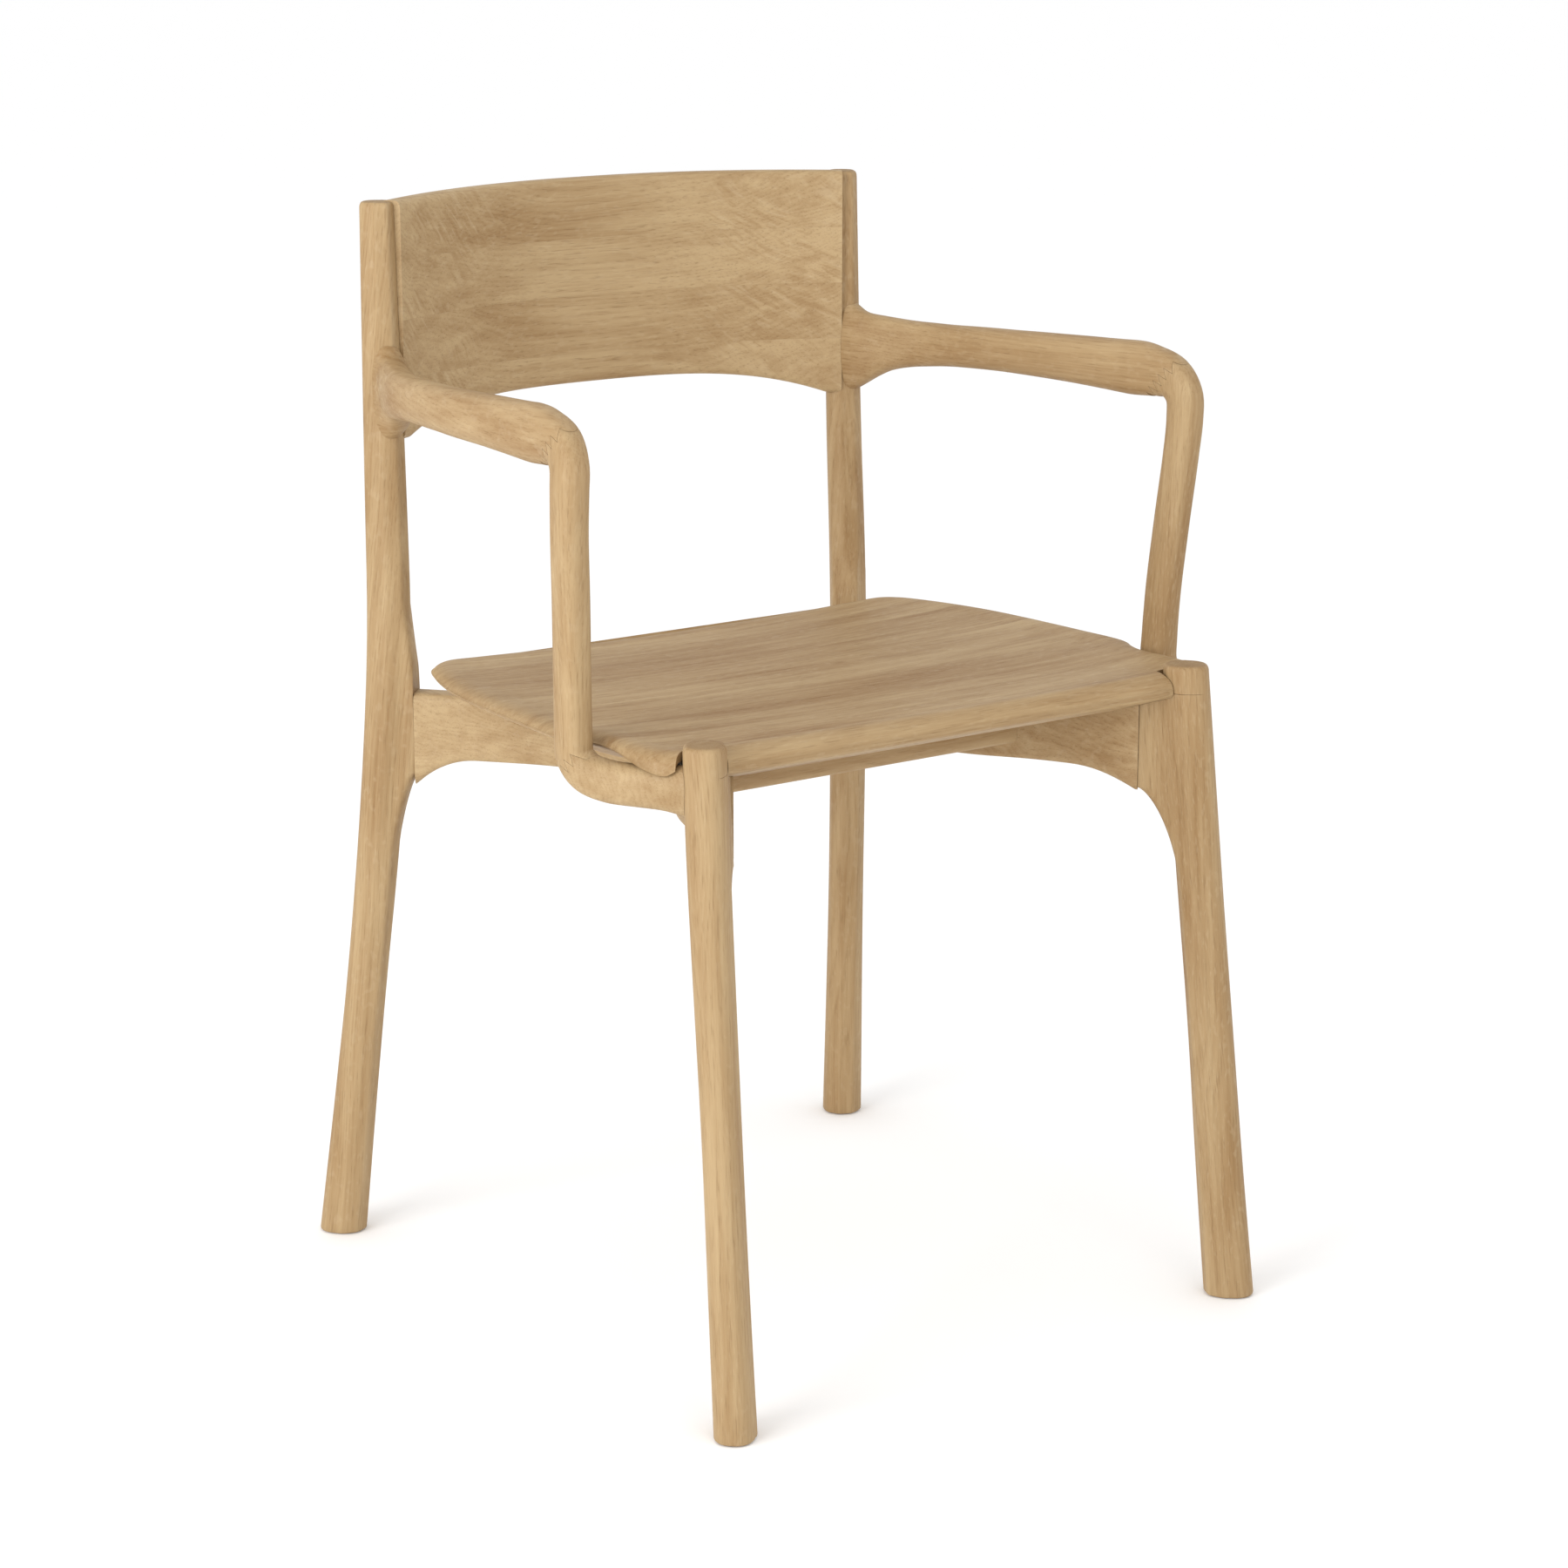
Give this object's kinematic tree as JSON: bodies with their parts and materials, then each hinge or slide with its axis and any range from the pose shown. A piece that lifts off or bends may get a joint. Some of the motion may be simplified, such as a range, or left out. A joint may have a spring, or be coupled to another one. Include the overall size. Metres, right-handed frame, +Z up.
{
  "type": "armchair",
  "caption": "Wooden dining armchair with a dished solid seat, bowed backrest board, splayed round legs and looped arms that turn down to the front legs.",
  "frame": {"origin": "floor level, under the middle of the chair's bounding box", "axes": "+Z up, the chair faces -Y, +X is the right side as seen from the front"},
  "size_m": [0.5578, 0.5367, 0.795],
  "materials": {
    "oak": "matt oiled",
    "seat_oak": "matt oiled",
    "beech": "plain",
    "steel": "zinc plated",
    "nylon": "moulded"
  },
  "bodies": {
    "root": {"arm_back_tenon_left": "beech", "arm_back_tenon_right": "beech", "arm_foot_dowel_left": "beech", "arm_foot_dowel_right": "beech", "arm_foot_left": "oak", "arm_foot_right": "oak", "arm_post_left": "oak", "arm_post_right": "oak", "arm_rail_left": "oak", "arm_rail_right": "oak", "back_dowel_lower_left": "beech", "back_dowel_lower_right": "beech", "back_dowel_upper_left": "beech", "back_dowel_upper_right": "beech", "back_stave_1": "oak", "back_stave_2": "oak", "back_stave_3": "oak", "back_stave_4": "oak", "front_cross_rail": "oak", "front_cross_tenon_left": "beech", "front_cross_tenon_right": "beech", "front_glide_left": "nylon", "front_glide_right": "nylon", "front_leg_left": "oak", "front_leg_right": "oak", "front_leg_tenon_left": "beech", "front_leg_tenon_right": "beech", "rear_cross_rail": "oak", "rear_cross_tenon_left": "beech", "rear_cross_tenon_right": "beech", "rear_glide_left": "nylon", "rear_glide_right": "nylon", "rear_leg_left": "oak", "rear_leg_right": "oak", "rear_leg_tenon_left": "beech", "rear_leg_tenon_right": "beech", "seat_rail_left": "oak", "seat_rail_right": "oak", "seat_screw_1": "steel", "seat_screw_2": "steel", "seat_screw_3": "steel", "seat_screw_4": "steel", "seat_stave_1": "seat_oak", "seat_stave_2": "seat_oak", "seat_stave_3": "seat_oak", "seat_stave_4": "seat_oak", "seat_stave_5": "seat_oak"}
  },
  "joints": []
}
